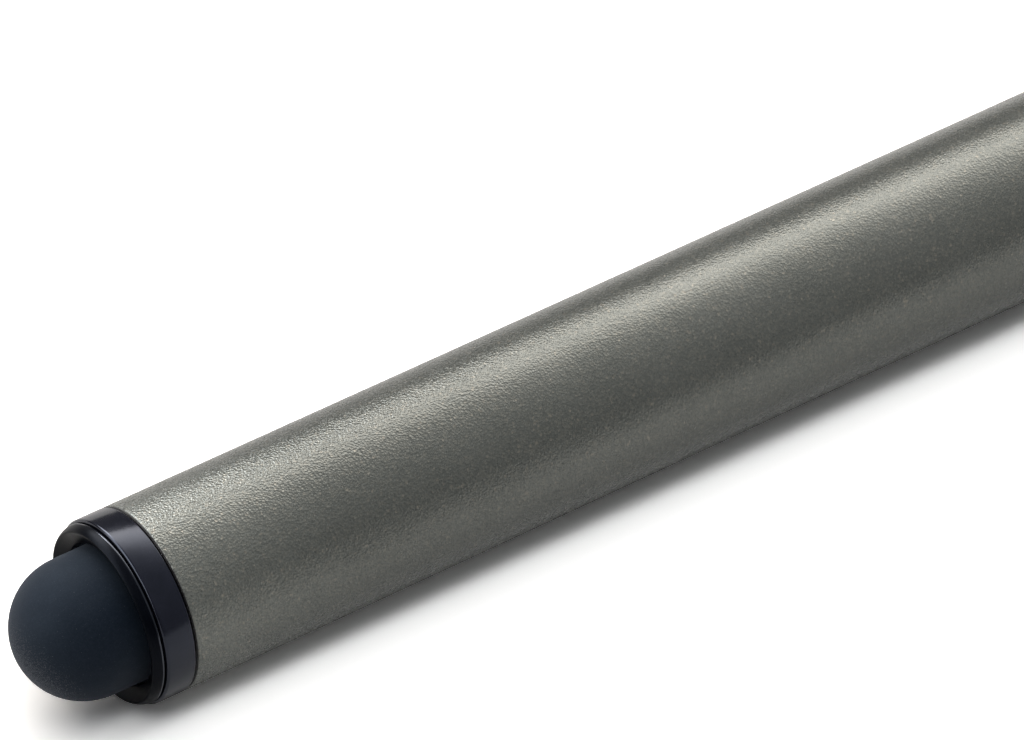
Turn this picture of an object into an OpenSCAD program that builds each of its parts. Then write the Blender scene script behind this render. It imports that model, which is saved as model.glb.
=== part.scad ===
// Inkless pen with a rubber touch tip at the rear and an alloy nib at the front.
// The pen lies on the ground along X: the touch tip points to -X, the nib to +X.
// Every piece is turned or moulded round one axis, so each is a half profile that is revolved.
// In the profiles x is the radius and y the station along the axis, counted from
// the rear end of the barrel: stations below 0 are the touch tip, above 0 the barrel.

/* [Barrel] */
// Outer diameter of the barrel
barrel_d = 10; // [9:0.5:12]
// Length of the barrel tube
barrel_l = 100; // [80:1:120]
// Wall of the barrel tube
barrel_wall = 0.8; // [0.6:0.1:1]
// Chamfer on both rims of the barrel tube
barrel_chamfer = 0.12; // [0.05:0.01:0.25]

/* [Touch tip] */
// Wall of the rubber dome
dome_wall = 0.9; // [0.6:0.1:1.2]
// How far the centre of the dome stands behind the barrel
dome_reach = 3.6; // [3.4:0.05:4]
// Thickness of the flange that traps the dome
dome_flange_t = 0.8; // [0.5:0.1:1]
// How far the flange stands out from the dome
dome_flange_out = 0.45; // [0.4:0.05:0.55]
// Wall of the housing's sleeve round the dome's flange
sleeve_wall = 0.35; // [0.3:0.05:0.55]
// Length of the glossy trim ring
ring_l = 1.65; // [1.2:0.05:2]
// Wall of the glossy trim ring
ring_wall = 0.45; // [0.35:0.05:0.55]
// Rounding of the trim ring's rear edge
ring_round = 0.14; // [0.05:0.01:0.2]
// Rounding of the trim ring's edge that faces the barrel
ring_round_inner = 0.06; // [0.03:0.01:0.1]
// Length of the housing that shows behind the trim ring
shoulder_l = 0.6; // [0.5:0.05:0.7]
// Step down from the trim ring to the housing
shoulder_step = 0.12; // [0.05:0.01:0.2]
// Radius of the curve of the housing's shoulder
shoulder_curve = 1; // [0.9:0.05:1.4]
// How far the middle of that curve lies ahead of the shoulder's edge
shoulder_lead = 0.05; // [0:0.01:0.1]
// Rounding of the shoulder's edge beside the trim ring
shoulder_round = 0.1; // [0.05:0.01:0.15]
// Width of the flat edge between the shoulder and the dished front face
crest_w = 0.08; // [0.05:0.01:0.12]
// How deep the front face is dished, from that edge in to the mouth
dish_depth = 0.4; // [0.3:0.05:0.45]
// Depth of the seat in the housing for the dome's flange
seat_depth = 0.85; // [0.6:0.05:1]
// How far the stem's plug reaches into the dome
stem_nose_l = 1; // [0.5:0.1:1.5]

/* [Threads] */
// Outer diameter of the touch tip's threaded stud
stud_d = 4.6; // [3.5:0.1:5]
// Length of the touch tip's threaded stud
stud_l = 7; // [6:0.5:9]
// Length of the grip section's threaded spigot, from the barrel's end
spigot_l = 9; // [8:0.5:11]
// Length of the rear bush
rear_bush_l = 9; // [8:0.5:12]
// Length of the front bush
front_bush_l = 11; // [10:0.5:14]
// Wall of the front bush round the grip section's thread
front_bush_wall = 1.05; // [0.95:0.05:1.4]
// Wall of the closed end of each bush
bush_floor = 1; // [0.5:0.1:1.5]
// Outer diameter of the grip section's nib thread
nib_thread_d = 3; // [2.6:0.1:3.4]
// Length of the nib holder's thread
nib_thread_l = 6; // [4:0.5:8]

/* [Sealing rings] */
// Thickness of the rubber cord of each O-ring
oring_t = 1; // [0.8:0.1:1.2]
// How deep each O-ring sits in its groove
oring_bite = 0.6; // [0.4:0.05:0.7]
// Distance from the barrel's rim to the O-ring's groove
oring_inset = 0.6; // [0.4:0.1:1.5]

/* [Front] */
// Length of the metal ring between barrel and grip section
front_ring_l = 1.8; // [1:0.1:3]
// Rounding of the front ring's edges
front_ring_round = 0.2; // [0.1:0.05:0.4]
// Length of the tapered grip section
grip_l = 27; // [20:1:34]
// Diameter of the grip section's nose
grip_nose_d = 4.8; // [4.4:0.1:5.6]
// Rounding of the grip section's edges
grip_round = 0.2; // [0.1:0.05:0.4]
// Length of the nib holder that shows
holder_l = 5; // [3:0.5:7]
// Diameter of the nib holder beside the grip section
holder_d = 4.3; // [3.8:0.1:4.4]
// Diameter of the nib holder's mouth
holder_mouth_d = 2.6; // [2.4:0.1:3]
// Diameter of the nib's shank
nib_shank_d = 1.8; // [1.4:0.1:1.9]
// Length of the nib's shank inside the holder
nib_shank_l = 6; // [3:0.5:7]
// Diameter of the nib where it leaves the holder
nib_d = 2.2; // [2:0.1:2.3]
// Length of the nib that shows
nib_l = 3.6; // [2.5:0.1:5]
// Radius of the nib's writing point
nib_point_r = 0.35; // [0.25:0.05:0.5]

/* [Clearances] */
// Shadow gap between the barrel's rims and the rings beside them
rim_gap = 0.1; // [0.05:0.01:0.2]
// Radial running clearance between a thread and its bush
thread_play = 0.05; // [0.03:0.01:0.08]
// Radial clearance between the trim rings and what they turn on
ring_play = 0.05; // [0.03:0.01:0.08]
// Radial clearance between the rubber dome and the housing's mouth
dome_play = 0.15; // [0.1:0.01:0.2]
// Radial clearance between the stem's plug and the inside of the dome
nose_play = 0.05; // [0.03:0.01:0.1]
// Radial clearance between an O-ring and the counterbore round it
oring_play = 0.08; // [0.05:0.01:0.15]
// Groove between the trim ring and the housing's shoulder
groove_gap = 0.06; // [0.04:0.01:0.1]

/* [Hidden] */
$fn = 96;

barrel_r = barrel_d / 2;
bore_r = barrel_r - barrel_wall;
// Far enough out to lie beyond every piece, for cutting a profile
beyond = 2 * barrel_d;

// Stations of the touch tip, from the barrel outwards
dome_y = -dome_reach;
ring_y = -rim_gap - ring_l;
shoulder_y = ring_y - groove_gap;
lip_y = shoulder_y - shoulder_l;
seat_y = lip_y + seat_depth;
flange_y = seat_y + dome_flange_t;
stud_r = stud_d / 2;

// Radii of the touch tip, from the barrel's line inwards
shoulder_r = barrel_r - shoulder_step;
shoulder_middle_r = shoulder_r - sqrt(pow(shoulder_curve, 2) - pow(shoulder_lead, 2));
shoulder_edge_r = shoulder_middle_r
    + sqrt(pow(shoulder_curve, 2) - pow(shoulder_lead + shoulder_round, 2));
crest_r = shoulder_middle_r
    + sqrt(pow(shoulder_curve, 2) - pow(shoulder_lead + shoulder_l, 2)) - crest_w;
sleeve_r = barrel_r - ring_wall - ring_play;
dome_flange_r = sleeve_r - sleeve_wall;
dome_r = dome_flange_r - dome_flange_out;
mouth_r = dome_r + dome_play;
stem_nose_r = dome_r - dome_wall - nose_play;

// Stations of the front, from the barrel outwards
front_ring_y = barrel_l + rim_gap;
grip_y = front_ring_y + front_ring_l + groove_gap;
grip_end = grip_y + grip_l;
holder_end = grip_end + holder_l;
nib_end = holder_end + nib_l;
spigot_r = bore_r - front_bush_wall - thread_play;
nib_thread_r = nib_thread_d / 2;
nib_shank_r = nib_shank_d / 2;

// The O-rings: radius of the ring's centre line, of its outside and of its groove
oring_r = oring_t / 2;
rear_groove_r = stud_r - oring_bite;
front_groove_r = spigot_r - oring_bite;
oring_groove_l = oring_t + 0.1;

// The middle of the whole pen comes to X = 0, and its lowest line to Z = 0
tip_end = dome_y - dome_r;
middle_y = (tip_end + nib_end) / 2;

// Turns a half profile round the axis of the pen
module turned()
    translate([-middle_y, 0, barrel_r])
        rotate([0, 90, 0])
            rotate_extrude()
                children();

// A stretch of solid round bar, or of tube, from one station to another
module bar(from_y, to_y, outer_r, inner_r = 0)
    translate([inner_r, from_y])
        square([outer_r - inner_r, to_y - from_y]);

// A tube whose two outer edges are rounded, each by its own radius
module rounded_bar(from_y, to_y, outer_r, inner_r, from_round, to_round) {
    bar(from_y + from_round, to_y - to_round, outer_r, inner_r);
    bar(from_y, from_y + from_round, outer_r - from_round, inner_r);
    bar(to_y - to_round, to_y, outer_r - to_round, inner_r);
    translate([outer_r - from_round, from_y + from_round])
        circle(from_round);
    translate([outer_r - to_round, to_y - to_round])
        circle(to_round);
}

// A tube whose two outer edges are cut off at 45 degrees
module chamfered_bar(from_y, to_y, outer_r, inner_r, cut)
    polygon([
        [inner_r, from_y],
        [outer_r - cut, from_y],
        [outer_r, from_y + cut],
        [outer_r, to_y - cut],
        [outer_r - cut, to_y],
        [inner_r, to_y]
    ]);

// Thin-walled aluminium tube, open at both ends
module barrel_tube()
    color("#6b6d66") turned()
        chamfered_bar(0, barrel_l, barrel_r, bore_r, barrel_chamfer);

// Turned insert in the rear of the barrel, threaded for the touch tip
module rear_bush()
    color("#c9a75a") turned() difference() {
        bar(0, rear_bush_l, bore_r);
        bar(-1, rear_bush_l - bush_floor, stud_r + thread_play);
        bar(-1, oring_inset + oring_groove_l, rear_groove_r + oring_t + oring_play);
    }

// Turned insert in the front of the barrel, threaded for the grip section
module front_bush()
    color("#c9a75a") turned() difference() {
        bar(barrel_l - front_bush_l, barrel_l, bore_r);
        bar(barrel_l - front_bush_l + bush_floor, barrel_l + 1, spigot_r + thread_play);
        bar(barrel_l - oring_inset - oring_groove_l, barrel_l + 1,
            front_groove_r + oring_t + oring_play);
    }

// Glossy black ring between the barrel and the housing of the touch tip
module stylus_trim_ring()
    color("#16181f") turned()
        rounded_bar(ring_y, -rim_gap, barrel_r, sleeve_r + ring_play, ring_round, ring_round_inner);

// The curved shoulder: a rounded edge beside the trim ring, then an arc that turns in to the crest
module shoulder_profile() {
    intersection() {
        translate([shoulder_middle_r, shoulder_y + shoulder_lead])
            circle(shoulder_curve);
        bar(lip_y, shoulder_y - shoulder_round, shoulder_r);
    }
    bar(shoulder_y - shoulder_round, shoulder_y, shoulder_edge_r - shoulder_round);
    translate([shoulder_edge_r - shoulder_round, shoulder_y - shoulder_round])
        circle(shoulder_round);
}

// Matt black housing: curved shoulder, dished front face, mouth for the dome, seat for its
// flange, inner sleeve
module stylus_housing()
    color("#23262c") turned() difference() {
        union() {
            shoulder_profile();
            bar(shoulder_y, -rim_gap, sleeve_r);
        }
        polygon([
            [0, lip_y - 1],
            [crest_r, lip_y - 1],
            [crest_r, lip_y],
            [mouth_r, lip_y + dish_depth],
            [0, lip_y + dish_depth]
        ]);
        bar(lip_y, seat_y + 1, mouth_r);
        bar(seat_y, 1, dome_flange_r);
    }

// Moulded rubber dome: hollow, with a flange that the housing traps
module stylus_dome()
    color("#1b1e24") turned() difference() {
        union() {
            intersection() {
                translate([0, dome_y])
                    circle(dome_r);
                bar(dome_y - dome_r, dome_y, beyond);
            }
            bar(dome_y, flange_y, dome_r);
            bar(seat_y, flange_y, dome_flange_r);
        }
        intersection() {
            translate([0, dome_y])
                circle(dome_r - dome_wall);
            bar(dome_y - dome_r, dome_y, beyond);
        }
        bar(dome_y, flange_y + 1, dome_r - dome_wall);
    }

// Metal core: plug inside the dome, flange behind it, threaded stud with a groove for the O-ring
module stylus_stem()
    color("#9a9ca0") turned() difference() {
        union() {
            rounded_bar(flange_y - stem_nose_l, flange_y + 0.5, stem_nose_r, 0, 0.4, 0.1);
            bar(flange_y, -rim_gap, dome_flange_r);
            bar(-rim_gap, stud_l, stud_r);
        }
        bar(oring_inset, oring_inset + oring_groove_l, beyond, rear_groove_r);
    }

// Rubber ring on the stud, which keeps the touch tip from working loose
module rear_oring()
    color("#2a2a2c") turned()
        translate([rear_groove_r + oring_r, oring_inset + oring_groove_l / 2])
            circle(oring_r);

// Polished metal ring between the barrel and the grip section
module front_trim_ring()
    color("#b9babd") turned()
        rounded_bar(front_ring_y, front_ring_y + front_ring_l, barrel_r, spigot_r + ring_play,
                    front_ring_round, front_ring_round);

// Radius of the grip at a station: an arc that leaves the barrel's line and narrows to the nose
grip_drop = barrel_r - grip_nose_d / 2;
grip_curve = (grip_l * grip_l + grip_drop * grip_drop) / (2 * grip_drop);
function grip_radius(y) = barrel_r - grip_curve + sqrt(grip_curve * grip_curve - y * y);

// The outline of the grip, in short straight steps, with a rounded rim beside the front ring
module grip_profile() {
    steps = 24;
    straight = grip_l - grip_round;
    polygon(concat(
        [[0, grip_y + grip_round]],
        [for (i = [0:steps]) let (y = grip_round + straight * i / steps)
            [grip_radius(y), grip_y + y]],
        [[0, grip_end]]
    ));
    bar(grip_y, grip_y + grip_round, barrel_r - grip_round);
    translate([grip_radius(grip_round) - grip_round, grip_y + grip_round])
        circle(grip_round);
}

// Tapered grip section with its threaded spigot and the threaded hole for the nib holder
module grip_section()
    color("#6b6d66") turned() difference() {
        union() {
            grip_profile();
            bar(barrel_l - spigot_l, grip_y, spigot_r);
        }
        bar(grip_end - nib_thread_l - 0.5, grip_end + 1, nib_thread_r + thread_play);
        bar(barrel_l - oring_inset - oring_groove_l, barrel_l - oring_inset, beyond,
            front_groove_r);
    }

// Rubber ring on the spigot, which keeps the grip section from working loose
module front_oring()
    color("#2a2a2c") turned()
        translate([front_groove_r + oring_r, barrel_l - oring_inset - oring_groove_l / 2])
            circle(oring_r);

// Steel cone that carries the nib and screws into the grip section
module nib_holder()
    color("#a6a8ab") turned() difference() {
        union() {
            bar(grip_end - nib_thread_l, grip_end, nib_thread_r);
            polygon([
                [0, grip_end],
                [holder_d / 2, grip_end],
                [holder_mouth_d / 2, holder_end],
                [0, holder_end]
            ]);
        }
        bar(holder_end - nib_shank_l, holder_end + 1, nib_shank_r);
    }

// Alloy nib: round shank in the holder and a cone that ends in a rounded writing point
module nib()
    color("#8e8f93") turned() {
        point_y = nib_end - nib_point_r;
        bar(holder_end - nib_shank_l, holder_end, nib_shank_r);
        polygon([
            [0, holder_end],
            [nib_d / 2, holder_end],
            [nib_point_r, point_y],
            [0, point_y]
        ]);
        intersection() {
            translate([0, point_y])
                circle(nib_point_r);
            bar(point_y, nib_end, beyond);
        }
    }

barrel_tube();
rear_bush();
front_bush();
stylus_trim_ring();
stylus_housing();
stylus_dome();
stylus_stem();
rear_oring();
front_trim_ring();
grip_section();
front_oring();
nib_holder();
nib();
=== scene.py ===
# %% [markdown]
# An inkless pen that lies on a pale table, seen from behind its rubber touch tip.
# Every piece of this pen is turned or moulded round one axis. So most cells below work like
# a lathe: one ring of points is drawn out along the axis and made wider or narrower on its way.
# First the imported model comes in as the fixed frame, and its box is kept for the last cell.

# %% Load the frame
import math

import bmesh
import bpy
from mathutils import Matrix, Vector


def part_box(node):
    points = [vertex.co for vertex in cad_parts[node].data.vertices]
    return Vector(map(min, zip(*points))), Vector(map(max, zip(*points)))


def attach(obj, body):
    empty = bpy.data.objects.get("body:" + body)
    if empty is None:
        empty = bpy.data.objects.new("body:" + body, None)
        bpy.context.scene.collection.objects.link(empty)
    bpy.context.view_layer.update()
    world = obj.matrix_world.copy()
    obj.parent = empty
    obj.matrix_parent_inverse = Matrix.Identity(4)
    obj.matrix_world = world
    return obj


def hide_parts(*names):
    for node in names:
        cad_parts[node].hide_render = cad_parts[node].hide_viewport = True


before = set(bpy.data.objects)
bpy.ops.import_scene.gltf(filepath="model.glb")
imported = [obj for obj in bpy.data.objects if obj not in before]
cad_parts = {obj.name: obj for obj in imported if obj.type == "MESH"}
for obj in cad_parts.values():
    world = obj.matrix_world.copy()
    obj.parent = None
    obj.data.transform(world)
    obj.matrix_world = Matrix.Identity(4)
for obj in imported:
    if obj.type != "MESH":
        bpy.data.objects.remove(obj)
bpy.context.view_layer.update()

# %% [markdown]
# All lengths below are in millimetres, as on a workshop drawing, and become metres where a
# piece is made. A station is a place along the axis, counted from the rear rim of the barrel:
# minus is the touch tip, plus is the barrel and the front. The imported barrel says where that
# rim stands, so nothing here has to be fitted by eye. The pen lies on the table, so its axis
# is as high as the barrel's radius.

# %% Stations along the axis
MM = 0.001
SIDES = 192
rear_rim, front_rim = (corner.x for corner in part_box("barrel_tube"))
axis_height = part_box("barrel_tube")[1].z / 2
BARREL_R = axis_height / MM
BARREL_L = (front_rim - rear_rim) / MM
print("barrel: radius %.2f mm, length %.2f mm" % (BARREL_R, BARREL_L))


def at(station):
    """The point of the axis at a station."""
    return Vector((rear_rim + station * MM, 0, axis_height))


def station_of(node):
    """The first and the last station of a CAD node."""
    return [(corner.x - rear_rim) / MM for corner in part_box(node)]


# %% [markdown]
# The lathe. A real turner cuts a bar to a profile. Here a circle of points is extruded along
# the axis, and each new ring is scaled to its radius. Extruding by hand in edit mode does the
# same, one key press at a time. The profile is a list of stations and radii, so the piece can
# be read like a drawing. A last radius of zero closes the piece with a pole, and a profile
# that comes back to its first ring is welded there.

# %% The lathe
WELD_GAP = 1e-7


def start_piece(name):
    """Names the new primitive, applies its place and opens it in edit mode, all selected."""
    piece = bpy.context.object
    piece.name = piece.data.name = name
    bpy.ops.object.transform_apply(location=True, rotation=True, scale=True)
    bpy.ops.object.mode_set(mode="EDIT")
    bpy.ops.mesh.select_all(action="SELECT")
    return piece


def draw_out(profile):
    """Draws the selected ring along stations and radii; a radius of zero makes a pole."""
    for (last_s, last_r), (next_s, next_r) in zip(profile, profile[1:]):
        bpy.ops.mesh.extrude_edges_move(
            TRANSFORM_OT_translate={"value": ((next_s - last_s) * MM, 0, 0)})
        if next_r == 0:
            bpy.ops.mesh.merge(type="CENTER")
            break
        scale = next_r / last_r
        bpy.ops.transform.resize(value=(1, scale, scale), center_override=at(next_s))


def weld():
    """Merges doubled points of the piece in edit mode and leaves all of it selected."""
    bpy.ops.mesh.select_all(action="SELECT")
    bpy.ops.mesh.remove_doubles(threshold=WELD_GAP)


def finish_mesh(angle=30):
    """Welds the piece in edit mode, turns its faces outwards and shades what is smooth."""
    weld()
    bpy.ops.mesh.normals_make_consistent(inside=False)
    bpy.ops.object.mode_set(mode="OBJECT")
    bpy.ops.object.shade_smooth_by_angle(angle=math.radians(angle))


def turn(name, profile, sides=SIDES):
    """Draws a ring of points along the profile and leaves the piece in edit mode."""
    bpy.ops.object.select_all(action="DESELECT")
    first_station, first_radius = profile[0]
    bpy.ops.mesh.primitive_circle_add(
        vertices=sides, radius=first_radius * MM, location=at(first_station),
        rotation=(0, math.pi / 2, 0))
    piece = start_piece(name)
    draw_out(profile)
    return piece


def arc(station, radius, bend, from_deg, to_deg, steps):
    """Points on a circle in the profile; 0 degrees points outwards and 90 to the nib."""
    angles = (math.radians(from_deg + (to_deg - from_deg) * i / steps) for i in range(steps + 1))
    return [(station + bend * math.sin(a), radius + bend * math.cos(a)) for a in angles]


# %% [markdown]
# Sharp rims are where a turned piece gives itself away: the real ones always catch a line of
# light. The bevel operator rounds them. It needs the right edges, and these are found by
# their place: an edge belongs to a rim if both its ends lie at that station and radius. The
# same search finds the small open ring of a solid end, which is merged into one point.

# %% Rounding a rim
NEAR = 2e-6


def select_rims(piece, rims):
    """In edit mode, selects the rings of edges at the given stations and radii."""
    bpy.ops.mesh.select_mode(type="EDGE")
    bpy.ops.mesh.select_all(action="DESELECT")
    mesh = bmesh.from_edit_mesh(piece.data)
    found = 0
    for edge in mesh.edges:
        for station, radius in rims:
            if all(abs(v.co.x - at(station).x) < NEAR
                   and abs(math.hypot(v.co.y, v.co.z - axis_height) - radius * MM) < NEAR
                   for v in edge.verts):
                edge.select_set(True)
                found += 1
    mesh.select_flush_mode()
    bmesh.update_edit_mesh(piece.data)
    return found


def round_rims(piece, rims, by, segments):
    """Bevels whole rims by a width in millimetres."""
    found = select_rims(piece, rims)
    bpy.ops.mesh.bevel(offset=by * MM, segments=segments, affect="EDGES", profile=0.5)
    print(piece.name, "rounded", found // len(rims), "edges of each rim by", by, "mm")


def close_end(piece, station, radius):
    """Draws the open ring at a station and radius together into a pole."""
    select_rims(piece, [(station, radius)])
    bpy.ops.mesh.merge(type="CENTER")


# %% [markdown]
# The barrel is a thin aluminium tube, 10 mm outside, with a small chamfer on both rims. The
# outside is coated; the rims and the bore are bare metal. The profile goes along the outside,
# over the front rim, back through the bore and over the rear rim.

# %% Barrel
CHAMFER = 0.12
CHAMFER_ROUND = 0.05
BORE_R = 4.2
barrel = turn("barrel_shell", [
    (0, BARREL_R - CHAMFER), (CHAMFER, BARREL_R), (BARREL_L / 2, BARREL_R),
    (BARREL_L - CHAMFER, BARREL_R), (BARREL_L, BARREL_R - CHAMFER), (BARREL_L, BORE_R),
    (BARREL_L / 2, BORE_R), (0, BORE_R), (0, BARREL_R - CHAMFER)])
weld()
round_rims(barrel, [(CHAMFER, BARREL_R), (BARREL_L - CHAMFER, BARREL_R)], CHAMFER_ROUND, 3)
finish_mesh()
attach(barrel, "barrel")
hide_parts("barrel_tube")
print("barrel_shell faces:", len(barrel.data.polygons))

# %% [markdown]
# The trim ring is the glossy black band between barrel and shoulder. Its rear edge is well
# rounded and catches the bright line that the photograph shows; the edge towards the barrel
# is tighter. It is a plain tube first, then the two outer rims are beveled.

# %% Trim ring
ring_rear, ring_front = station_of("stylus_trim_ring")
SLEEVE_R = 4.5
RING_BORE_R = 4.55
RING_REAR_ROUND = 0.14
RING_FRONT_ROUND = 0.06
ring = turn("gloss_collar", [
    (ring_front, BARREL_R), (ring_rear, BARREL_R), (ring_rear, RING_BORE_R),
    (ring_front, RING_BORE_R), (ring_front, BARREL_R)])
weld()
round_rims(ring, [(ring_rear, BARREL_R)], RING_REAR_ROUND, 8)
round_rims(ring, [(ring_front, BARREL_R)], RING_FRONT_ROUND, 5)
finish_mesh(40)
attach(ring, "stylus_ring")
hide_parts("stylus_trim_ring")
print("gloss_collar from", round(ring_rear, 2), "to", round(ring_front, 2))

# %% [markdown]
# The shoulder is a black moulded or turned housing with a satin surface. From the trim ring
# its outline turns in on a tight arc to a crest, and from there the front face is dished back
# to the mouth that holds the dome, so the dome stands in a shallow bowl. Behind the mouth is
# the seat for the dome's flange, and a sleeve goes forward under the trim ring. The arc is
# walked in small steps. The edge beside the ring, the crest and the mouth are rounded by
# bevels, because a knife-sharp edge would look cut.

# %% Shoulder
lip, sleeve_end = station_of("stylus_housing")
EDGE_GAP = 0.06
EDGE_STEP = 0.12
SHOULDER_CURVE = 1.0
SHOULDER_LEAD = 0.05
CREST_W = 0.08
DISH_DEPTH = 0.4
SEAT_DEPTH = 0.85
MOUTH_R = 3.85
SEAT_R = 4.15
EDGE_ROUND = 0.1
CREST_ROUND = 0.035
MOUTH_ROUND = 0.07
shoulder_edge = ring_rear - EDGE_GAP
shoulder_r = BARREL_R - EDGE_STEP
arc_middle_r = shoulder_r - math.sqrt(SHOULDER_CURVE ** 2 - SHOULDER_LEAD ** 2)
first_deg = -math.degrees(math.asin((SHOULDER_LEAD + EDGE_ROUND) / SHOULDER_CURVE))
last_deg = -math.degrees(math.asin((shoulder_edge + SHOULDER_LEAD - lip) / SHOULDER_CURVE))
shoulder_arc = arc(shoulder_edge + SHOULDER_LEAD, arc_middle_r, SHOULDER_CURVE,
                   first_deg, last_deg, 24)
edge_r, crest_r = shoulder_arc[0][1], shoulder_arc[-1][1]
mouth = lip + DISH_DEPTH
shoulder = turn("satin_shoulder", [
    (sleeve_end, SLEEVE_R), (shoulder_edge, SLEEVE_R), (shoulder_edge, edge_r)] + shoulder_arc + [
    (lip, crest_r - CREST_W), (mouth, MOUTH_R), (lip + SEAT_DEPTH, MOUTH_R),
    (lip + SEAT_DEPTH, SEAT_R), (sleeve_end, SEAT_R), (sleeve_end, SLEEVE_R)])
weld()
round_rims(shoulder, [(shoulder_edge, edge_r)], EDGE_ROUND, 6)
round_rims(shoulder, [(lip, crest_r), (lip, crest_r - CREST_W)], CREST_ROUND, 3)
round_rims(shoulder, [(mouth, MOUTH_R)], MOUTH_ROUND, 4)
finish_mesh(35)
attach(shoulder, "stylus_head")
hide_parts("stylus_housing")
print("satin_shoulder: crest at", round(lip, 2), "radius", round(crest_r, 2))

# %% [markdown]
# The dome is moulded rubber: half a ball on a short neck, hollow, with a flange at its foot
# that the housing traps. A ball primitive is the natural start. It is cut in half, its open
# rim is drawn out into the neck and the flange, and the solidify modifier would give it a
# wall; here the wall is drawn from a listed profile, so that the flange keeps its thickness.

# %% Dome
DOME_R = 3.7
DOME_WALL = 0.9
FLANGE_T = 0.8
dome_middle = station_of("stylus_dome")[0] + DOME_R
flange_end = station_of("stylus_dome")[1]
bpy.ops.object.select_all(action="DESELECT")
bpy.ops.mesh.primitive_uv_sphere_add(
    segments=SIDES, ring_count=128, radius=DOME_R * MM, location=at(dome_middle),
    rotation=(0, math.pi / 2, 0))
dome = start_piece("rubber_dome")
bpy.ops.mesh.bisect(plane_co=at(dome_middle), plane_no=(1, 0, 0), clear_outer=True)
select_rims(dome, [(dome_middle, DOME_R)])
hollow_r = DOME_R - DOME_WALL
draw_out([
    (dome_middle, DOME_R), (flange_end - FLANGE_T, DOME_R), (flange_end - FLANGE_T, SEAT_R),
    (flange_end, SEAT_R), (flange_end, hollow_r), (dome_middle, hollow_r)]
    + arc(dome_middle, 0, hollow_r, 0, -88, 40)[1:])
bpy.ops.mesh.merge(type="CENTER")
finish_mesh(40)
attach(dome, "stylus_head")
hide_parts("stylus_dome")
print("rubber_dome faces:", len(dome.data.polygons))

# %% [markdown]
# A screw thread is a ridge that winds round a core. The screw modifier makes it from one
# small cross-section: the section is a narrow plane beside the axis, and the modifier turns
# it round and moves it along at the same time. The open ends are then capped. The widths of
# foot and top are shares of the pitch, and the foot is sunk a little into the core.

# %% Thread ridge
RIDGE_FOOT = 0.42
RIDGE_TOP = 0.1
RIDGE_SUNK = 0.04
STEPS_A_TURN = 48


def thread_ridge(name, from_station, turns, pitch, root_r, crest_r):
    """A closed helical ridge from the root radius to the crest radius, inwards or outwards."""
    bpy.ops.object.select_all(action="DESELECT")
    bpy.ops.mesh.primitive_plane_add(size=1, location=at(from_station))
    ridge = bpy.context.object
    ridge.name = ridge.data.name = name
    foot_r = root_r - RIDGE_SUNK if crest_r > root_r else root_r + RIDGE_SUNK
    section = [(-RIDGE_FOOT * pitch, foot_r), (RIDGE_FOOT * pitch, foot_r),
               (-RIDGE_TOP * pitch, crest_r), (RIDGE_TOP * pitch, crest_r)]
    for vertex, (along, radius) in zip(ridge.data.vertices, section):
        vertex.co = (along * MM, 0, radius * MM)
    screw = ridge.modifiers.new("winding", "SCREW")
    screw.axis = "X"
    screw.angle = 2 * math.pi
    screw.screw_offset = pitch * MM
    screw.iterations = turns
    screw.steps = screw.render_steps = STEPS_A_TURN
    screw.use_merge_vertices = False
    bpy.ops.object.modifier_apply(modifier="winding")
    bpy.ops.object.transform_apply(location=True, rotation=True, scale=True)
    bpy.ops.object.mode_set(mode="EDIT")
    weld()
    bpy.ops.mesh.select_all(action="DESELECT")
    bpy.ops.mesh.select_mode(type="EDGE")
    bpy.ops.mesh.select_non_manifold()
    bpy.ops.mesh.edge_face_add()
    finish_mesh(35)
    return ridge


def join_to(piece, others):
    """Makes several meshes one piece."""
    bpy.ops.object.select_all(action="DESELECT")
    for mesh in [*others, piece]:
        mesh.select_set(True)
    bpy.context.view_layer.objects.active = piece
    bpy.ops.object.join()
    return piece


# %% [markdown]
# The stem is the metal heart of the touch tip. Its plug fills the foot of the dome, its
# flange clamps the rubber, and its stud screws into the barrel. It leads the charge of the
# hand to the rubber, which is why a touch screen answers to it. Its flange stops at the
# clamp end, just short of the barrel's rim. The stud ends in a chamfer and a centre hole, as
# a turned stud does.

# %% Stem of the touch tip
STUD_R = 2.3
STUD_ROOT_R = 1.98
STUD_CHAMFER = 0.35
STUD_THREAD_AT = 2.3
PLUG_R = 2.75
PLUG_ROUND = 0.3
NOSE_HOLLOW = 0.3
START_R = 0.02
REAR_PITCH = 0.8
CLAMP_END = -0.1
GROOVE_AT = 0.6
GROOVE_L = 1.1
REAR_GROOVE_R = 1.7
stem_nose, stud_end = station_of("stylus_stem")
stem = turn("touch_tip_stem", [
    (stem_nose + NOSE_HOLLOW, START_R), (stem_nose + NOSE_HOLLOW, 1.2), (stem_nose, 1.4),
    (stem_nose, PLUG_R), (flange_end, PLUG_R), (flange_end, SEAT_R), (CLAMP_END, SEAT_R),
    (CLAMP_END, STUD_R), (GROOVE_AT, STUD_R), (GROOVE_AT, REAR_GROOVE_R),
    (GROOVE_AT + GROOVE_L, REAR_GROOVE_R), (GROOVE_AT + GROOVE_L, STUD_R), (2.1, STUD_R),
    (STUD_THREAD_AT, STUD_ROOT_R), (stud_end - STUD_CHAMFER, STUD_ROOT_R),
    (stud_end, STUD_ROOT_R - STUD_CHAMFER), (stud_end, 0.5), (stud_end - 0.4, 0)])
close_end(stem, stem_nose + NOSE_HOLLOW, START_R)
round_rims(stem, [(stem_nose, PLUG_R)], PLUG_ROUND, 6)
round_rims(stem, [(GROOVE_AT, STUD_R), (GROOVE_AT + GROOVE_L, STUD_R)], 0.05, 2)
finish_mesh()
stem = join_to(stem, [thread_ridge("stud_ridge", STUD_THREAD_AT + 0.2, 5, REAR_PITCH,
                                   STUD_ROOT_R, STUD_R)])
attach(stem, "stylus_head")
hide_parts("stylus_stem")
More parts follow.
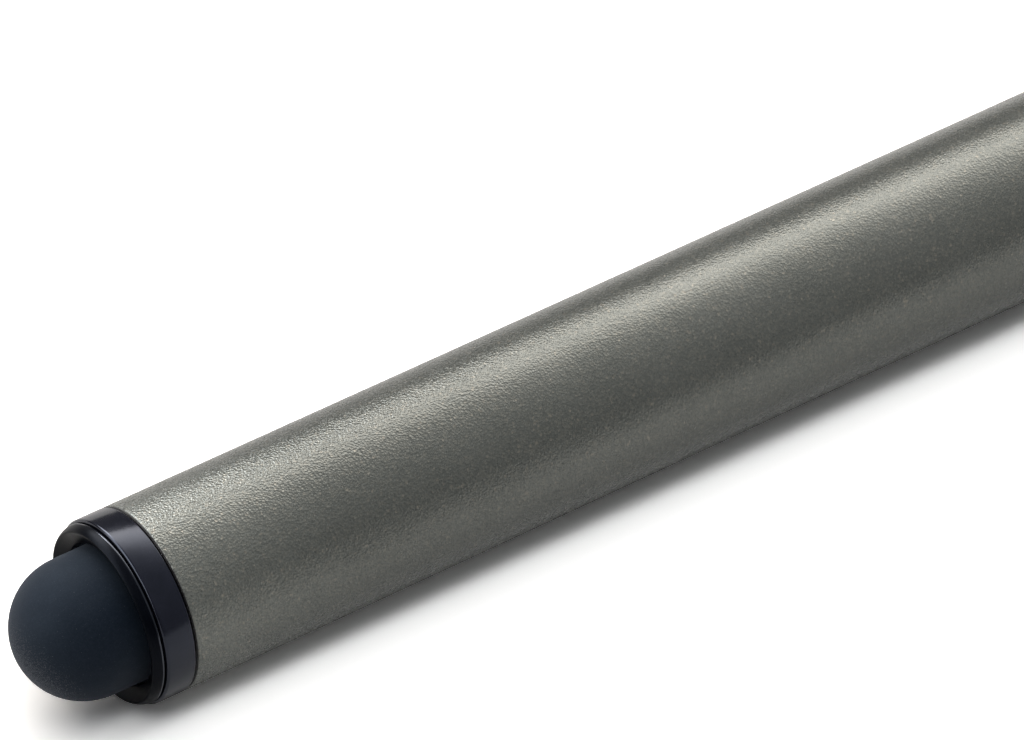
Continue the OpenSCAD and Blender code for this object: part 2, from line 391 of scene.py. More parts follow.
print("touch_tip_stem from", round(stem_nose, 2), "to", round(stud_end, 2))

# %% [markdown]
# Two rubber rings sit in grooves and keep the screwed ends from working loose. A torus is
# the start, made a touch smaller to leave room for the flash: a real ring is moulded in two
# halves and carries a fine line round its outside, where the halves met. That ring of edges
# is beveled, and its middle line is pulled out a little.

# %% Sealing rings
CORD_R = 0.5
SHRINK = 0.994
FLASH_W = 0.03
FLASH_OUT = 1.005


def sealing_ring(name, middle_station, groove_r, node, body):
    """A rubber ring in the groove at a station, with its flash line."""
    bpy.ops.object.select_all(action="DESELECT")
    bpy.ops.mesh.primitive_torus_add(
        major_segments=SIDES, minor_segments=32, major_radius=(groove_r + CORD_R) * MM,
        minor_radius=CORD_R * MM, location=at(middle_station), rotation=(0, math.pi / 2, 0))
    seal = start_piece(name)
    bpy.ops.transform.resize(value=(1, SHRINK, SHRINK), center_override=at(middle_station))
    outside = (groove_r + 2 * CORD_R) * SHRINK
    select_rims(seal, [(middle_station, outside)])
    bpy.ops.mesh.bevel(offset=FLASH_W * MM, segments=2, affect="EDGES")
    select_rims(seal, [(middle_station, outside)])
    bpy.ops.transform.resize(value=(1, FLASH_OUT, FLASH_OUT), center_override=at(middle_station))
    finish_mesh(60)
    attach(seal, body)
    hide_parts(node)
    return seal


rear_seal = sealing_ring("rear_seal", GROOVE_AT + GROOVE_L / 2, REAR_GROOVE_R,
                         "rear_oring", "stylus_head")
SPIGOT_R = 3.1
FRONT_GROOVE_R = SPIGOT_R - 0.6
front_seal = sealing_ring("front_seal", BARREL_L - GROOVE_AT - GROOVE_L / 2, FRONT_GROOVE_R,
                          "front_oring", "writing_head")
for node in ("rear_oring", "front_oring"):
    print(node, "sits at", round(sum(station_of(node)) / 2, 2))

# %% [markdown]
# A brass bush is pressed into each end of the tube and carries the inner thread. Only its
# face, its counterbore and the first turns show, and only while an end is unscrewed. The
# thread points inwards, so the ridge's crest is at the smaller radius. A ridge always winds
# towards the nib, so the front one starts at the deep end of its bush.

# %% Bushes
RUNNING_FIT = 0.05
SEAL_ROOM = 1.08
COUNTERBORE_L = 1.7
BUSH_CHAMFER = 0.08
COUNTER_CHAMFER = 0.12
RIDGE_FROM_FACE = 2.3
RIDGE_FROM_DEEP_END = 1.4


def bush(name, face, inward, length, clear_r, root_r, counter_r, pitch, turns, node):
    """A threaded bush; face is the station of its open end and inward the way to the middle."""
    def s(depth):
        return face + inward * depth

    piece = turn(name, [
        (s(length), START_R), (s(length), BORE_R), (s(BUSH_CHAMFER), BORE_R),
        (s(0), BORE_R - BUSH_CHAMFER), (s(0), counter_r + COUNTER_CHAMFER),
        (s(COUNTER_CHAMFER), counter_r), (s(COUNTERBORE_L), counter_r),
        (s(COUNTERBORE_L), clear_r), (s(COUNTERBORE_L + 0.3), root_r),
        (s(length - 1), root_r), (s(length - 0.8), 0)])
    close_end(piece, s(length), START_R)
    finish_mesh()
    start = s(RIDGE_FROM_FACE if inward > 0 else length - RIDGE_FROM_DEEP_END)
    piece = join_to(piece, [thread_ridge(name + "_ridge", start, turns, pitch, root_r, clear_r)])
    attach(piece, "barrel")
    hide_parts(node)
    return piece


rear_bush = bush("rear_bush_threaded", 0, 1, 9, STUD_R + RUNNING_FIT, STUD_R + 0.35,
                 REAR_GROOVE_R + SEAL_ROOM, REAR_PITCH, 6, "rear_bush")
FRONT_PITCH = 1.0
front_bush = bush("front_bush_threaded", BARREL_L, -1, 11, SPIGOT_R + RUNNING_FIT,
                  SPIGOT_R + 0.4, FRONT_GROOVE_R + SEAL_ROOM, FRONT_PITCH, 7, "front_bush")
print("bush faces:", len(rear_bush.data.polygons), len(front_bush.data.polygons))

# %% [markdown]
# The front ring is polished metal, between the barrel and the grip. A fine groove round its
# middle gives the eye a line to rest on, as turned trim rings often have.

# %% Front ring
front_ring_from, front_ring_to = station_of("front_trim_ring")
front_ring_middle = (front_ring_from + front_ring_to) / 2
LINE_HALF_W = 0.1
LINE_DEPTH = 0.08
COLLAR_ROUND = 0.2
line_from, line_to = front_ring_middle - LINE_HALF_W, front_ring_middle + LINE_HALF_W
front_ring = turn("bright_collar", [
    (front_ring_from, BARREL_R), (line_from, BARREL_R),
    (front_ring_middle, BARREL_R - LINE_DEPTH), (line_to, BARREL_R),
    (front_ring_to, BARREL_R), (front_ring_to, SPIGOT_R + RUNNING_FIT),
    (front_ring_from, SPIGOT_R + RUNNING_FIT), (front_ring_from, BARREL_R)])
weld()
round_rims(front_ring, [(front_ring_from, BARREL_R), (front_ring_to, BARREL_R)], COLLAR_ROUND, 6)
round_rims(front_ring, [(line_from, BARREL_R), (line_to, BARREL_R)], 0.03, 2)
finish_mesh(40)
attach(front_ring, "front_ring")
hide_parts("front_trim_ring")
print("bright_collar from", round(front_ring_from, 2), "to", round(front_ring_to, 2))

# %% [markdown]
# The grip section narrows from the barrel's line to the nose on one long shallow arc. It has
# the barrel's coating, a bare bevel round the nose and a threaded spigot. Inside the nose is
# the hole for the nib holder.

# %% Grip section
grip_from = front_ring_to + EDGE_GAP
spigot_from, grip_to = station_of("grip_section")
GRIP_NOSE_R = 2.4
NOSE_BEVEL_L = 0.25
NIB_THREAD_R = 1.5
TAPER_STEPS = 48
grip_l = grip_to - grip_from
drop = BARREL_R - GRIP_NOSE_R
grip_curve = (grip_l ** 2 + drop ** 2) / (2 * drop)


def grip_r(along):
    """Radius of the grip at a distance from its rear rim."""
    return BARREL_R - grip_curve + math.sqrt(grip_curve ** 2 - along ** 2)


taper = [(grip_from + grip_l * i / TAPER_STEPS, grip_r(grip_l * i / TAPER_STEPS))
         for i in range(1, TAPER_STEPS)]
hole_r = NIB_THREAD_R + RUNNING_FIT
front_groove = BARREL_L - GROOVE_AT - GROOVE_L
spigot_root_r = SPIGOT_R - 0.4
grip = turn("grip_shell", [
    (spigot_from + 0.4, 1.0), (spigot_from, 1.3), (spigot_from, spigot_root_r - 0.4),
    (spigot_from + 0.4, spigot_root_r), (front_groove - 0.6, spigot_root_r),
    (front_groove - 0.3, SPIGOT_R), (front_groove, SPIGOT_R), (front_groove, FRONT_GROOVE_R),
    (front_groove + GROOVE_L, FRONT_GROOVE_R), (front_groove + GROOVE_L, SPIGOT_R),
    (grip_from, SPIGOT_R), (grip_from, BARREL_R)] + taper + [
    (grip_to - NOSE_BEVEL_L, grip_r(grip_l - NOSE_BEVEL_L)), (grip_to, GRIP_NOSE_R - 0.12),
    (grip_to, hole_r), (grip_to - 6.5, hole_r), (grip_to - 7.2, 0)])
close_end(grip, spigot_from + 0.4, 1.0)
round_rims(grip, [(grip_from, BARREL_R)], COLLAR_ROUND, 6)
finish_mesh()
grip = join_to(grip, [thread_ridge("spigot_ridge", spigot_from + 0.9, 5, FRONT_PITCH,
                                   spigot_root_r, SPIGOT_R)])
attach(grip, "writing_head")
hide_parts("grip_section")
print("grip_shell length %.2f, nose radius %.2f" % (grip_l, GRIP_NOSE_R))

# %% [markdown]
# The nib holder is a steel cone. It screws into the grip, and two fine grooves near its foot
# give the fingers of the assembler a hold. Its mouth is bored for the nib's shank.

# %% Nib holder
holder_to = station_of("nib_holder")[1]
holder_from = grip_to
HOLDER_R = 2.15
HOLDER_MOUTH_R = 1.3
SHANK_R = 0.9
SHANK_L = 6
THREAD_L = 6
HOLD_LINES = (0.9, 1.4)
HOLD_LINE_HALF_W = 0.08
HOLD_LINE_DEPTH = 0.09
cone = (HOLDER_MOUTH_R - HOLDER_R) / (holder_to - holder_from)


def cone_r(along):
    """Radius of the cone at a distance from its foot."""
    return HOLDER_R + cone * along


grooves = []
for along in HOLD_LINES:
    for past, depth in ((-HOLD_LINE_HALF_W, 0), (0, HOLD_LINE_DEPTH), (HOLD_LINE_HALF_W, 0)):
        grooves.append((holder_from + along + past, cone_r(along + past) - depth))
thread_end = holder_from - THREAD_L
holder = turn("nib_cone", [
    (thread_end, 0.3), (thread_end, NIB_THREAD_R - 0.2), (thread_end + 0.2, NIB_THREAD_R),
    (holder_from, NIB_THREAD_R), (holder_from, HOLDER_R)] + grooves + [
    (holder_to, HOLDER_MOUTH_R), (holder_to, SHANK_R), (holder_to - SHANK_L, SHANK_R),
    (holder_to - SHANK_L, 0)])
close_end(holder, thread_end, 0.3)
round_rims(holder, [(holder_to, HOLDER_MOUTH_R)], 0.12, 4)
round_rims(holder, [(holder_from, HOLDER_R)], 0.06, 3)
finish_mesh()
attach(holder, "writing_head")
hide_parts("nib_holder")
print("nib_cone length %.2f" % (holder_to - holder_from))

# %% [markdown]
# The nib is a short rod of soft grey alloy that leaves a fine line as it wears. Its cone ends
# in a rounded point. Writing rubs a small flat on the point, on the side that meets the
# paper: the bisect operator cuts it off and fills the cut.

# %% Nib
nib_to = station_of("nib")[1]
NIB_R = 1.1
POINT_R = 0.35
WEAR_DEPTH = 0.04
WEAR_TILT = math.radians(52)
tip = arc(nib_to - POINT_R, 0, POINT_R, 18, 86, 12)
nib = turn("writing_nib", [
    (holder_to - SHANK_L, 0.2), (holder_to - SHANK_L, SHANK_R), (holder_to, SHANK_R),
    (holder_to, NIB_R)] + tip + [(nib_to, 0)], sides=96)
close_end(nib, holder_to - SHANK_L, 0.2)
round_rims(nib, [(holder_to, NIB_R)], 0.05, 3)
weld()
wear = Vector((math.sin(WEAR_TILT), 0, -math.cos(WEAR_TILT)))
bpy.ops.mesh.bisect(plane_co=at(nib_to - POINT_R) + wear * (POINT_R - WEAR_DEPTH) * MM,
                    plane_no=wear, use_fill=True, clear_outer=True)
finish_mesh()
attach(nib, "writing_head")
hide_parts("nib")
print("writing_nib ends at", round(nib_to, 2))

# %% [markdown]
# Materials are built from nodes. Each one reads Object coordinates, in metres, so that a
# grain keeps its real size on every piece and goes with the piece when it moves. These small
# helpers keep the cells short: they start a material, add a node and fill in its inputs, mix
# two colours, map a value to a range, make a bump, and paint a piece.

# %% Node helpers
def start_material(name):
    """A new material: the material, its tree, its shader and its Object coordinates."""
    material = bpy.data.materials.new(name)
    material.use_nodes = True
    tree = material.node_tree
    shader = tree.nodes["Principled BSDF"]
    place = tree.nodes.new("ShaderNodeTexCoord")
    return material, tree, shader, place.outputs["Object"]


def add(tree, kind, settings=None, **inputs):
    """Adds a node. Inputs go by name, with _ for a space, or by number, as i0: each takes a
    value, or a socket to link."""
    node = tree.nodes.new("ShaderNode" + kind)
    for key, value in (settings or {}).items():
        setattr(node, key, value)
    for key, value in inputs.items():
        numbered = key[0] == "i" and key[1:].isdigit()
        socket = node.inputs[int(key[1:]) if numbered else key.replace("_", " ")]
        if isinstance(value, bpy.types.NodeSocket):
            tree.links.new(value, socket)
        else:
            socket.default_value = value
    return node


def mix_colour(tree, share, first, second):
    """Mixes two colours: share 0 is the first, share 1 the second."""
    return add(tree, "Mix", {"data_type": "RGBA"}, i0=share, i6=first, i7=second).outputs[2]


def ramp(tree, value, low, high, to_low=0.0, to_high=1.0):
    """Maps a value from one range to another and cuts off what is outside."""
    return add(tree, "MapRange", Value=value, From_Min=low, From_Max=high,
               To_Min=to_low, To_Max=to_high).outputs["Result"]


def bump(tree, height, depth, normal=None):
    """A bump whose depth is in metres."""
    node = add(tree, "Bump", Strength=1.0, Distance=depth, Height=height)
    if normal is not None:
        tree.links.new(normal, node.inputs["Normal"])
    return node.outputs["Normal"]


def paint(piece, *materials):
    """Gives a piece its materials; the first one covers all faces."""
    piece.data.materials.clear()
    for material in materials:
        piece.data.materials.append(material)


# %% [markdown]
# The barrel's coating is a metallic paint with fine flakes and a slight orange peel. Seen
# close, every grain of about a tenth of a millimetre has its own tilt and its own tone: most
# are olive grey, a few are warm and bright. A Voronoi pattern gives each grain one random
# colour; that drives tone, roughness and a small bump. A wide noise moves the tone slowly,
# as sprayed paint does. Towards the trim ring the colour is made a little paler, which is
# painted light on that end, and the coating there is also rougher and its grain coarser. The
# chamfer beside the ring is painted near black and matt: a painted shade that draws the fine
# black line of the gap between the two.

# %% Coating
GRAIN = 1 / 0.00012
NEAR_END_LENGTH = 10.0
END_PAINTED_LIGHT = 1.28
END_ROUGHER = 0.05
GRAIN_FADE = 32.0
GRAIN_DEPTHS = (0.000012, 0.000028)
PEEL_DEPTH = 0.00001
coating, tree, shader, place = start_material("coating_gunmetal")
grains = add(tree, "TexVoronoi", Vector=place, Scale=GRAIN, Randomness=1.0)
split = add(tree, "SeparateColor", Color=grains.outputs["Color"])
dust = add(tree, "TexNoise", Vector=place, Scale=GRAIN * 1.3, Detail=2.0, Roughness=0.8)
cloud = add(tree, "TexNoise", Vector=place, Scale=420.0, Detail=3.0)
peel = add(tree, "TexNoise", Vector=place, Scale=2600.0, Detail=2.0)
tone = mix_colour(tree, ramp(tree, cloud.outputs["Fac"], 0.3, 0.7),
                  (0.1, 0.107, 0.1, 1), (0.117, 0.124, 0.116, 1))
tone = mix_colour(tree, ramp(tree, dust.outputs["Fac"], 0.4, 0.6, 0.0, 0.3), tone,
                  (0.168, 0.177, 0.16, 1))
tone = mix_colour(tree, ramp(tree, split.outputs["Red"], 0.45, 0.95, 0.0, 0.45), tone,
                  (0.182, 0.181, 0.158, 1))
tone = mix_colour(tree, ramp(tree, split.outputs["Green"], 0.96, 0.99, 0.0, 0.28), tone,
                  (0.36, 0.32, 0.26, 1))
xyz = add(tree, "SeparateXYZ", Vector=place)
# Painted light: towards the trim ring the tone is scaled paler, as if that end were lit more
# brightly.
end = ramp(tree, xyz.outputs["X"], at(NEAR_END_LENGTH).x, at(0).x)
tone = add(tree, "VectorMath", {"operation": "SCALE"}, i0=tone,
           Scale=ramp(tree, end, 0.0, 1.0, 1.0, END_PAINTED_LIGHT)).outputs[0]
# Painted shade: the chamfer beside the trim ring is made near black and matt, for the shadow line
# in the gap.
gap_shade = ramp(tree, xyz.outputs["X"], at(CHAMFER - 0.03).x, at(CHAMFER - 0.06).x)
tree.links.new(mix_colour(tree, gap_shade, tone, (0.004, 0.004, 0.005, 1)), shader.inputs["Base Color"])
roughness = ramp(tree, split.outputs["Blue"], 0.0, 1.0, 0.18, 0.3)
roughness = add(tree, "Math", i0=roughness,
                i1=ramp(tree, end, 0.0, 1.0, 0.0, END_ROUGHER)).outputs[0]
tree.links.new(add(tree, "Mix", i0=gap_shade, i2=roughness, i3=0.7).outputs[0],
               shader.inputs["Roughness"])
tree.links.new(ramp(tree, gap_shade, 0.0, 1.0, 0.5, 0.0), shader.inputs["Metallic"])
peel_normal = bump(tree, peel.outputs["Fac"], PEEL_DEPTH)
depth = ramp(tree, xyz.outputs["X"], at(GRAIN_FADE).x, at(0).x, *GRAIN_DEPTHS)
tree.links.new(bump(tree, grains.outputs["Distance"], depth, peel_normal),
               shader.inputs["Normal"])
print("coating grain:", round(1000 / GRAIN, 3), "mm")

# %% [markdown]
# Bare aluminium shows on the rims and in the bore. A lathe leaves fine rings, so the pattern
# reads only the place along the axis: a noise in one dimension draws rings round the piece.
# The same recipe, with other colours and widths, serves the brass, the steel and the chrome.

# %% Turned metals
def turned_metal(name, colour, dark, roughness, ring_scale=9000.0, depth=0.0000015):
    """A bare metal with a lathe's fine rings and slow stains."""
    material, tree, shader, place = start_material(name)
    xyz = add(tree, "SeparateXYZ", Vector=place)
    rings = add(tree, "TexNoise", {"noise_dimensions": "1D"}, W=xyz.outputs["X"],
                Scale=ring_scale, Detail=4.0, Roughness=0.7)
    stain = add(tree, "TexNoise", Vector=place, Scale=700.0, Detail=4.0)
    tone = mix_colour(tree, ramp(tree, stain.outputs["Fac"], 0.35, 0.7), colour, dark)
    tree.links.new(tone, shader.inputs["Base Color"])
    tree.links.new(ramp(tree, rings.outputs["Fac"], 0.3, 0.7, roughness - 0.07, roughness + 0.1),
                   shader.inputs["Roughness"])
    shader.inputs["Metallic"].default_value = 1.0
    tree.links.new(bump(tree, rings.outputs["Fac"], depth), shader.inputs["Normal"])
    return material


bare_aluminium = turned_metal("bare_aluminium", (0.6, 0.6, 0.6, 1), (0.5, 0.5, 0.51, 1), 0.32)
brass = turned_metal("turned_brass", (0.72, 0.55, 0.27, 1), (0.58, 0.42, 0.2, 1), 0.28)
steel = turned_metal("turned_steel_finish", (0.52, 0.52, 0.53, 1), (0.42, 0.42, 0.44, 1), 0.26)
chrome = turned_metal("polished_chrome", (0.64, 0.64, 0.66, 1), (0.58, 0.58, 0.61, 1), 0.1,
                      4000.0, 0.0000003)
print("turned metals: aluminium, brass, steel, chrome")

# %% [markdown]
# The trim ring is lacquered in a deep blue-black. Such gloss is never perfect: the lacquer
# has a faint wave, the roughness changes a little where it was wiped, and a few specks of
# dust lie on it.

# %% Gloss lacquer
lacquer, tree, shader, place = start_material("blue_black_lacquer")
wipe = add(tree, "TexNoise", Vector=place, Scale=900.0, Detail=4.0, Distortion=0.6)
wave = add(tree, "TexNoise", Vector=place, Scale=1300.0, Detail=1.0)
dust = add(tree, "TexVoronoi", Vector=place, Scale=3200.0)
speck = add(tree, "SeparateColor", Color=dust.outputs["Color"])
few = ramp(tree, speck.outputs["Red"], 0.97, 0.99)
near = ramp(tree, dust.outputs["Distance"], 0.12, 0.05)
spot = add(tree, "Math", {"operation": "MULTIPLY"}, i0=few, i1=near).outputs[0]
tone = mix_colour(tree, ramp(tree, wipe.outputs["Fac"], 0.3, 0.7), (0.003, 0.0035, 0.007, 1),
                  (0.006, 0.0065, 0.012, 1))
tree.links.new(mix_colour(tree, spot, tone, (0.12, 0.12, 0.13, 1)), shader.inputs["Base Color"])
tree.links.new(ramp(tree, wipe.outputs["Fac"], 0.35, 0.75, 0.15, 0.21),
               shader.inputs["Roughness"])
shader.inputs["IOR"].default_value = 1.48
shader.inputs["Specular Tint"].default_value = (0.72, 0.8, 1, 1)
tree.links.new(bump(tree, wave.outputs["Fac"], 0.000004), shader.inputs["Normal"])
print("lacquer ready")

# %% [markdown]
# The shoulder is satin: the same black, but with a fine even grain that spreads the light.
# The grain is a noise of a few hundredths of a millimetre as bump, and a thin greyish haze
# of handling lies over it in patches. The rounded edge beside the trim ring is polished, so
# it carries a fine bright line of its own next to the ring's. Its gloss is a number of the
# whole material and no pattern, so the polish is a second material on the faces of the edge.

# %% Satin black
def black_finish(name, ior, least_rough, most_rough):
    """A deep black with fine grain; its haze moves the roughness between two values."""
    material, tree, shader, place = start_material(name)
    grain = add(tree, "TexNoise", Vector=place, Scale=14000.0, Detail=2.0)
    haze = add(tree, "TexNoise", Vector=place, Scale=800.0, Detail=5.0, Roughness=0.6)
    tone = mix_colour(tree, ramp(tree, haze.outputs["Fac"], 0.35, 0.75),
                      (0.001, 0.0015, 0.003, 1), (0.0025, 0.0032, 0.0055, 1))
    tree.links.new(tone, shader.inputs["Base Color"])
    tree.links.new(ramp(tree, haze.outputs["Fac"], 0.3, 0.7, least_rough, most_rough),
                   shader.inputs["Roughness"])
    tree.links.new(bump(tree, grain.outputs["Fac"], 0.0000035), shader.inputs["Normal"])
    shader.inputs["IOR"].default_value = ior
    shader.inputs["Specular Tint"].default_value = (0.75, 0.83, 1, 1)
    return material


satin = black_finish("satin_black", 1.16, 0.27, 0.36)
polished_black = black_finish("polished_black", 1.7, 0.11, 0.16)
print("satin and polished black ready")

# %% [markdown]
# The dome's rubber is matt and slightly blue. It scatters light at a low angle, which sheen
# does well, and it holds dust: tiny pale specks, most of them on the underside of the tip,
# where it touches things. A dot product with that direction tells how far out towards it a
# point lies.

# %% Dome rubber
DUST_SIDE = Vector((-0.85, 0, -0.53))
rubber, tree, shader, place = start_material("dome_rubber_matt")
grain = add(tree, "TexNoise", Vector=place, Scale=17000.0, Detail=3.0, Roughness=0.7)
blotch = add(tree, "TexNoise", Vector=place, Scale=500.0, Detail=4.0)
down_and_out = add(tree, "VectorMath", {"operation": "DOT_PRODUCT"}, i0=place, i1=DUST_SIDE)
middle_out = at(dome_middle).dot(DUST_SIDE)
towards_dust = ramp(tree, down_and_out.outputs["Value"], middle_out + 1.6 * MM,
                    middle_out + 3.5 * MM, 0.66, 0.45)
dusty = add(tree, "Math", {"operation": "SUBTRACT"}, i0=grain.outputs["Fac"], i1=towards_dust)
speckle = ramp(tree, dusty.outputs[0], 0.0, 0.08)
tone = mix_colour(tree, ramp(tree, blotch.outputs["Fac"], 0.3, 0.7), (0.0015, 0.004, 0.0085, 1),
                  (0.003, 0.006, 0.0115, 1))
mottle = add(tree, "TexNoise", Vector=place, Scale=8000.0, Detail=3.0, Roughness=0.8)
tone = mix_colour(tree, ramp(tree, mottle.outputs["Fac"], 0.45, 0.6, 0.0, 0.5), tone,
                  (0.0075, 0.011, 0.018, 1))
tree.links.new(mix_colour(tree, speckle, tone, (0.075, 0.077, 0.085, 1)),
               shader.inputs["Base Color"])
tree.links.new(ramp(tree, blotch.outputs["Fac"], 0.3, 0.7, 0.7, 0.85), shader.inputs["Roughness"])
shader.inputs["IOR"].default_value = 1.33
shader.inputs["Specular Tint"].default_value = (0.6, 0.78, 1, 1)
shader.inputs["Sheen Weight"].default_value = 0.07
shader.inputs["Sheen Roughness"].default_value = 0.5
shader.inputs["Sheen Tint"].default_value = (0.75, 0.8, 0.95, 1)
tree.links.new(bump(tree, grain.outputs["Fac"], 0.000006), shader.inputs["Normal"])
print("dome rubber ready")

# %% [markdown]
# The sealing rings are a smoother rubber with a little grease on it. The nib is a soft alloy:
# dull grey, with fine rubbed lines along its cone and a brighter worn point.

# %% Ring rubber and nib alloy
seal_rubber, tree, shader, place = start_material("greased_rubber")
film = add(tree, "TexNoise", Vector=place, Scale=1500.0, Detail=3.0)
tree.links.new(mix_colour(tree, film.outputs["Fac"], (0.018, 0.018, 0.019, 1),
                          (0.034, 0.034, 0.035, 1)), shader.inputs["Base Color"])
tree.links.new(ramp(tree, film.outputs["Fac"], 0.35, 0.65, 0.28, 0.55), shader.inputs["Roughness"])
tree.links.new(bump(tree, film.outputs["Fac"], 0.000005), shader.inputs["Normal"])

alloy, tree, shader, place = start_material("writing_alloy")
xyz = add(tree, "SeparateXYZ", Vector=place)
rub = add(tree, "Mapping", Vector=place, Scale=(600, 9000, 9000))
streaks = add(tree, "TexNoise", Vector=rub.outputs["Vector"], Scale=1.0, Detail=4.0)
worn = ramp(tree, xyz.outputs["X"], at(nib_to - 1.0).x, at(nib_to - 0.2).x)
tone = mix_colour(tree, streaks.outputs["Fac"], (0.25, 0.25, 0.265, 1), (0.4, 0.4, 0.42, 1))
tree.links.new(mix_colour(tree, worn, tone, (0.55, 0.55, 0.57, 1)), shader.inputs["Base Color"])
tree.links.new(ramp(tree, streaks.outputs["Fac"], 0.3, 0.7, 0.35, 0.55),
               shader.inputs["Roughness"])
shader.inputs["Metallic"].default_value = 1.0
tree.links.new(bump(tree, streaks.outputs["Fac"], 0.000004), shader.inputs["Normal"])
print("ring rubber and nib alloy ready")

# %% [markdown]
# Now the finishes go on. The barrel and the grip carry two: the coating on the outside and
# bare metal where a tool cut through it. The shoulder has its satin and its polished edge.
# Faces are sorted by their place and normal, as one would pick them by hand with the
# material's Assign button.

# %% Assign the finishes
POLISHED_L = 0.145
RIM_DEPTH = 0.1


def second_where(piece, is_second):
    """Gives the second material to each face for which is_second(station, radius, out) holds."""
    count = 0
    for face in piece.data.polygons:
        middle = face.center
        station = (middle.x - rear_rim) / MM
        radius = math.hypot(middle.y, middle.z - axis_height) / MM
        way_out = Vector((0, middle.y, middle.z - axis_height)).normalized()
        face.material_index = int(is_second(station, radius, way_out.dot(face.normal)))
        count += face.material_index
    print(piece.name, "faces with the second finish:", count)


paint(barrel, coating, bare_aluminium)
second_where(barrel, lambda s, r, out: r < BARREL_R - RIM_DEPTH or out < 0.5)
paint(grip, coating, bare_aluminium)
second_where(grip, lambda s, r, out: s < grip_from or s > grip_to - NOSE_BEVEL_L or out < 0.2)
paint(shoulder, satin, polished_black)
second_where(shoulder, lambda s, r, out: s > shoulder_edge - POLISHED_L)
for piece, finish in ((ring, lacquer), (dome, rubber), (stem, steel), (rear_bush, brass),
                      (front_bush, brass), (rear_seal, seal_rubber), (front_seal, seal_rubber),
                      (front_ring, chrome), (holder, steel), (nib, alloy)):
    paint(piece, finish)

# %% [markdown]
# The table is a plain pale floor. The pen's shadow has to stay on it, while the rest is as
# white as the photograph. So the floor is diffuse, and only for rays that come straight from
# the camera it is a good deal paler: enough to bring the open floor to white without
# lighting the pen. It is a disc that ends where the lamps still light it fully, so that a low
# view meets the white world and no grey horizon.

# %% Floor
FLOOR_R = 0.8
TABLE_GREY = (0.6, 0.6, 0.6, 1)
CAMERA_LIFT = (0.9, 0.9, 0.9, 1)


def camera_sees(tree, real, shown, output):
    """Gives the camera's own rays one shader and leaves the real one to all other rays."""
    path = add(tree, "LightPath")
    choose = add(tree, "MixShader", i0=path.outputs["Is Camera Ray"],
                 i1=real.outputs[0], i2=shown.outputs[0])
    tree.links.new(choose.outputs[0], tree.nodes[output].inputs["Surface"])


bpy.ops.object.select_all(action="DESELECT")
bpy.ops.mesh.primitive_circle_add(vertices=128, radius=FLOOR_R, fill_type="NGON")
floor = bpy.context.object
floor.name = "table_floor"
table_white = bpy.data.materials.new("table_white")
table_white.use_nodes = True
tree = table_white.node_tree
tree.nodes.remove(tree.nodes["Principled BSDF"])
diffuse = add(tree, "BsdfDiffuse", Color=TABLE_GREY)
lift = add(tree, "BsdfDiffuse", Color=CAMERA_LIFT)
lifted = add(tree, "AddShader", i0=diffuse.outputs[0], i1=lift.outputs[0])
camera_sees(tree, diffuse, lifted, "Material Output")
paint(floor, table_white)
print("floor ready")

# %% [markdown]
# A photographer's soft box is a lamp behind a wide white cloth, so it is an area lamp here. A
# real one is brighter on one side than on the other. The node Geometry gives each point of a
# lamp its place on the lamp, so a curve over that place fades the light. Every box looks at
# the same point of the barrel, a little in front of its rear rim, and the camera never sees
# the box itself.

# %% Soft box
LAMP_AIM = 20


def soft_box(name, azimuth, elevation, distance, width, height, power, colour=(1, 1, 1),
             fade=None, fade_along="Y"):
    """An area lamp that looks at the barrel from an azimuth and elevation in degrees, with
    lengths in metres. The fade lists places from 0 to 1 on the lamp, each with a strength."""
    lamp = bpy.data.lights.new(name, "AREA")
    lamp.shape = "RECTANGLE"
    lamp.size, lamp.size_y = width, height
    lamp.energy = power
    lamp.color = colour
    if fade is not None:
        lamp.use_nodes = True
        tree = lamp.node_tree
        place = add(tree, "NewGeometry")
        on_lamp = add(tree, "SeparateXYZ", Vector=place.outputs["Parametric"])
        curve = add(tree, "FloatCurve", Value=on_lamp.outputs[fade_along])
        line = curve.mapping.curves[0]
        line.points[0].location = (0, fade[0][1])
        line.points[1].location = (1, fade[-1][1])
        for along, strength in fade[1:-1]:
            line.points.new(along, strength)
        curve.mapping.update()
        tree.links.new(curve.outputs[0], tree.nodes["Emission"].inputs["Strength"])
    box = bpy.data.objects.new(name, lamp)
    bpy.context.scene.collection.objects.link(box)
    a, e = math.radians(azimuth), math.radians(elevation)
    towards = Vector((math.cos(a) * math.cos(e), math.sin(a) * math.cos(e), math.sin(e)))
    box.location = at(LAMP_AIM) + towards * distance
    box.rotation_euler = towards.to_track_quat("Z", "Y").to_euler()
    box.visible_camera = False
    return box


print("soft boxes look at station", LAMP_AIM)

# %% [markdown]
# The light is a big soft box above and beyond the pen. Its lower edge is bright and its light
# fades towards the top: on the round barrel that makes one bright band along the top with a
# crisp upper edge and a long soft fall towards the viewer. A second box above the viewer
# shapes the shadow on the table and is left out of the reflections. Three cards are only seen
# in reflections, as a photographer's white boards are: one on the viewer's right, one low on
# the left for the dome, and one high on the left for the polished edges.

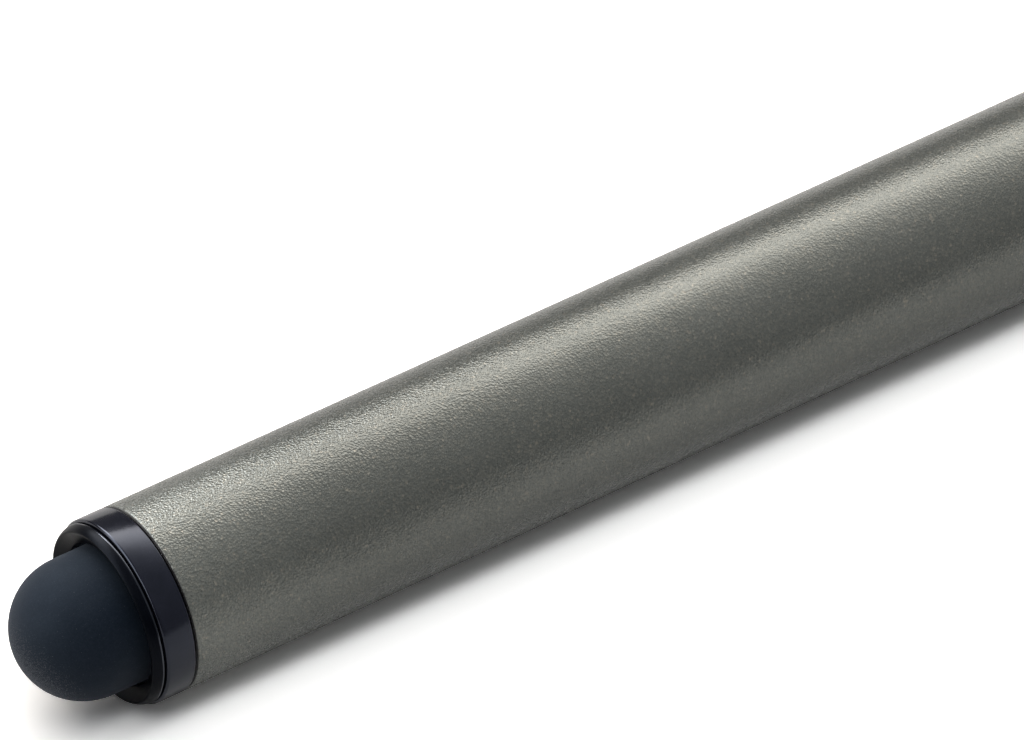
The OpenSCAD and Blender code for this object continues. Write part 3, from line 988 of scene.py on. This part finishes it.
# %% Lights
key = soft_box(
    "key_soft_box", azimuth=57, elevation=65.5, distance=0.8, width=1.5, height=0.84,
    power=24.5, colour=(1, 0.95, 0.895),
    fade=[(0, 1), (0.25, 0.77), (0.42, 0.42), (0.6, 0.13), (0.8, 0.04), (1, 0.02)])
top = soft_box(
    "top_soft_box", azimuth=-85, elevation=76, distance=0.9, width=1.5, height=0.55, power=13,
    fade=[(0, 0.1), (0.2, 0.35), (0.35, 1), (0.5, 0.75), (0.7, 0.25), (1, 0.12)])
top.visible_glossy = False
near_card = soft_box("near_card", azimuth=-48, elevation=42, distance=0.8, width=1.0,
                     height=1.5, power=0.5)
left_card = soft_box("left_card", azimuth=162, elevation=14, distance=0.8, width=0.9,
                     height=0.6, power=6)
rear_card = soft_box("rear_card", azimuth=128, elevation=42, distance=0.9, width=1.4,
                     height=0.5, power=16, colour=(0.95, 0.97, 1),
                     fade=[(0, 1), (0.3, 0.8), (0.6, 0.55), (1, 0.45)], fade_along="X")
for card in (near_card, left_card, rear_card):
    card.visible_diffuse = False
print("lights:", key.name, top.name, near_card.name, left_card.name, rear_card.name)

# %% [markdown]
# The world is the room round the table. It adds the rest of the light, a little more from
# above than from the side. Only the camera's own rays see plain white in its place.

# %% Room
ROOM_LOW, ROOM_HIGH = 0.1, 0.28
world = bpy.data.worlds.new("studio")
bpy.context.scene.world = world
world.use_nodes = True
tree = world.node_tree
room = tree.nodes["Background"]
room.inputs["Color"].default_value = (1, 1, 1, 1)
way = add(tree, "TexCoord")
way_up = add(tree, "SeparateXYZ", Vector=way.outputs["Generated"])
tree.links.new(ramp(tree, way_up.outputs["Z"], 0.0, 0.8, ROOM_LOW, ROOM_HIGH),
               room.inputs["Strength"])
white = add(tree, "Background", Color=(1, 1, 1, 1), Strength=1.0)
camera_sees(tree, room, white, "World Output")
print("room light from", ROOM_LOW, "at the side to", ROOM_HIGH, "above")

# %% [markdown]
# The camera stands behind the touch tip, above it and to one side, with a long lens. Its
# place and turn came from a fit to the photograph: the two edges of the barrel, the rim of
# the trim ring and the outline of the dome had to fall on their places in the picture. The
# stand is counted in millimetres from the barrel's rear rim; turn and tilt are in radians.

# %% Camera
PICTURE_WIDTH = 1024
FOCAL_PIXELS = 10000
TURN, TILT = 0.5983, 0.7285
STAND = Vector((-190.04, -311.43, 340.41))
forward = Vector((math.sin(TURN) * math.cos(TILT), math.cos(TURN) * math.cos(TILT),
                  -math.sin(TILT)))
right = Vector((math.cos(TURN), -math.sin(TURN), 0))
upward = right.cross(forward)
camera_data = bpy.data.cameras.new("camera")
camera_data.sensor_fit = "HORIZONTAL"
camera_data.sensor_width = 36
camera_data.lens = FOCAL_PIXELS / PICTURE_WIDTH * camera_data.sensor_width
camera_data.clip_start, camera_data.clip_end = 0.01, 20
camera = bpy.data.objects.new("camera", camera_data)
bpy.context.scene.collection.objects.link(camera)
camera_turn = Matrix((right, upward, -forward)).transposed().to_4x4()
camera.matrix_world = Matrix.Translation(at(0) + STAND * MM) @ camera_turn
bpy.context.scene.camera = camera
bpy.context.scene.view_settings.view_transform = "Standard"
print("camera lens %.1f mm" % camera_data.lens)
